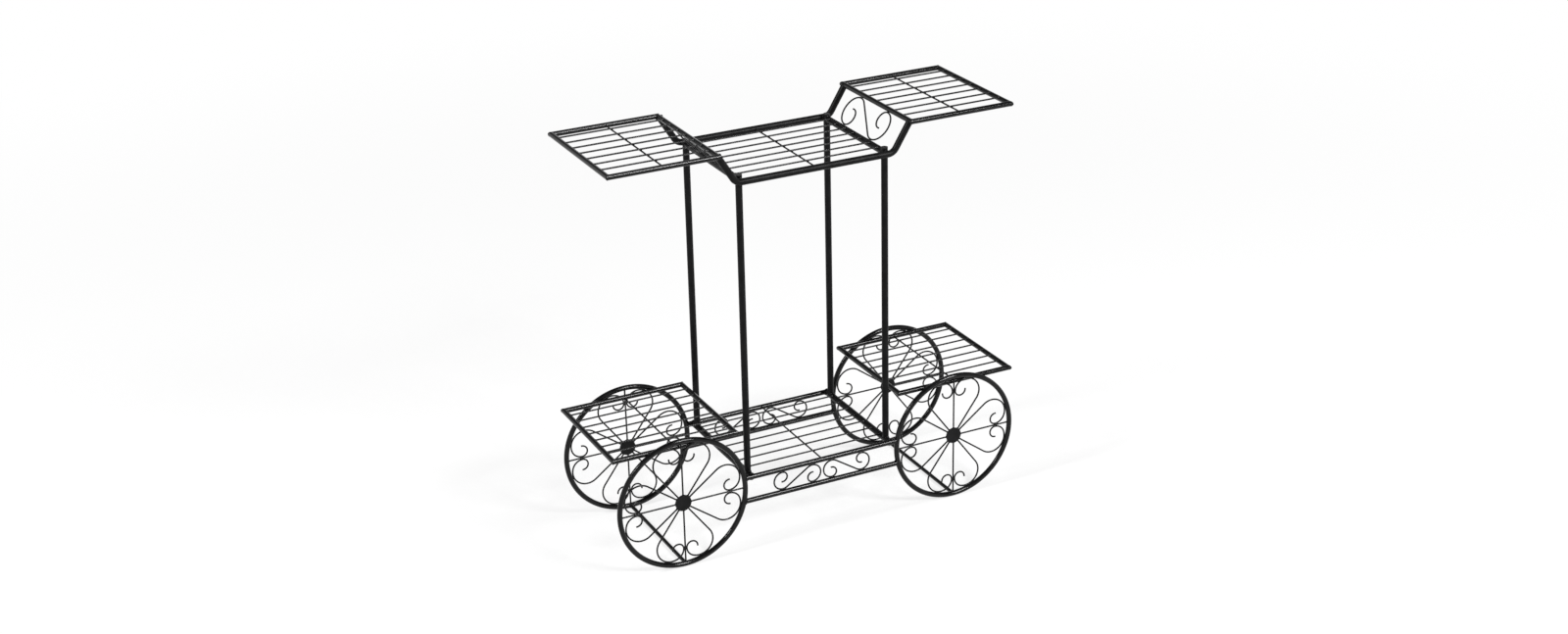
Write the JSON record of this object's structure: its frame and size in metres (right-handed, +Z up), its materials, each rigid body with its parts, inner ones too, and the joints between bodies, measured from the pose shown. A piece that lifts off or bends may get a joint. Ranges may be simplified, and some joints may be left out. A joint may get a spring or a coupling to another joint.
{
  "type": "flower cart stand",
  "caption": "Cart-shaped plant stand of welded black steel tube and wire: fixed spoked wheels, scroll panels and open wire shelves at several heights for flower pots.",
  "frame": {"origin": "on the floor, under the middle of the stand", "axes": "+X along the cart to its right end, +Y from front to back, +Z up"},
  "size_m": [0.7994, 0.2594, 0.7513],
  "materials": {
    "paint": "glossy black paint over welded steel",
    "plug": "satin black"
  },
  "bodies": {
    "root": {"low_left_back_rail": "paint", "low_left_deck": "paint", "low_left_front_rail": "paint", "low_left_inner_rail": "paint", "low_left_outer_rail": "paint", "low_right_back_rail": "paint", "low_right_deck": "paint", "low_right_front_rail": "paint", "low_right_inner_rail": "paint", "low_right_outer_rail": "paint", "panel_back_bottom_rail": "paint", "panel_back_scrolls": "paint", "panel_front_bottom_rail": "paint", "panel_front_scrolls": "paint", "post_back_left": "paint", "post_back_right": "paint", "post_front_left": "paint", "post_front_right": "paint", "post_plugs": "plug", "raised_left_back_rail": "paint", "raised_left_deck": "paint", "raised_left_front_rail": "paint", "raised_left_inner_rail": "paint", "raised_left_outer_rail": "paint", "raised_left_scroll": "paint", "raised_right_back_rail": "paint", "raised_right_deck": "paint", "raised_right_front_rail": "paint", "raised_right_inner_rail": "paint", "raised_right_outer_rail": "paint", "raised_right_scroll": "paint", "tie_bar_left": "paint", "tie_bar_right": "paint", "top_back_tube": "paint", "top_deck": "paint", "top_front_tube": "paint", "top_left_rail": "paint", "top_right_rail": "paint", "tray_back_rail": "paint", "tray_deck": "paint", "tray_front_rail": "paint", "tray_left_rail": "paint", "tray_right_rail": "paint", "wheel_back_left_curls": "paint", "wheel_back_left_hub": "paint", "wheel_back_left_rim": "paint", "wheel_back_left_spokes": "paint", "wheel_back_right_curls": "paint", "wheel_back_right_hub": "paint", "wheel_back_right_rim": "paint", "wheel_back_right_spokes": "paint", "wheel_front_left_curls": "paint", "wheel_front_left_hub": "paint", "wheel_front_left_rim": "paint", "wheel_front_left_spokes": "paint", "wheel_front_right_curls": "paint", "wheel_front_right_hub": "paint", "wheel_front_right_rim": "paint", "wheel_front_right_spokes": "paint"}
  },
  "joints": []
}
